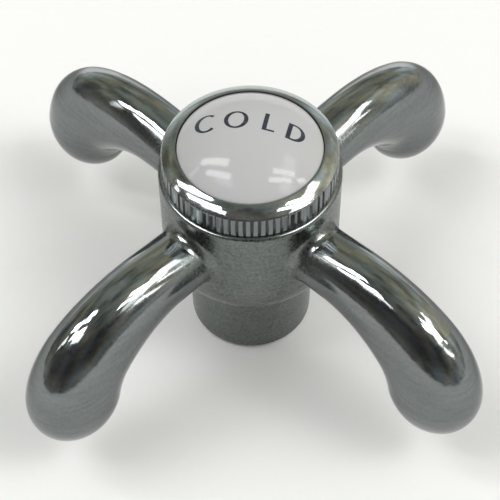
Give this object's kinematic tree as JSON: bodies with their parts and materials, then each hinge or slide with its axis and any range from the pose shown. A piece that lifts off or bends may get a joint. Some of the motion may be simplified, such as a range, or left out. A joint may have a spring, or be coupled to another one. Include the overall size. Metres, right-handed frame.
{
  "type": "tap handle",
  "caption": "Chrome cross handle for a tap: drooping rounded arms on a round hub with a narrower collar, with a reeded ring and a domed white index disc over the screw that holds it on a splined stem.",
  "frame": {"origin": "on the stem axis, at the foot of the hub", "axes": "+Z along the stem axis, away from the valve; the arms lie on the diagonals of X and Y; the word on the disc reads upright from the -Y side"},
  "size_m": [0.0568, 0.0568, 0.036],
  "materials": {
    "handle_chrome": "bright plated over cast brass",
    "ring_chrome": "bright plated over turned brass",
    "disc_glaze": "white gloss glaze",
    "screw_brass": "turned"
  },
  "bodies": {
    "root": {"cross_handle": "handle_chrome", "index_ring": "ring_chrome", "index_disc": "disc_glaze", "handle_screw": "screw_brass"}
  },
  "joints": []
}
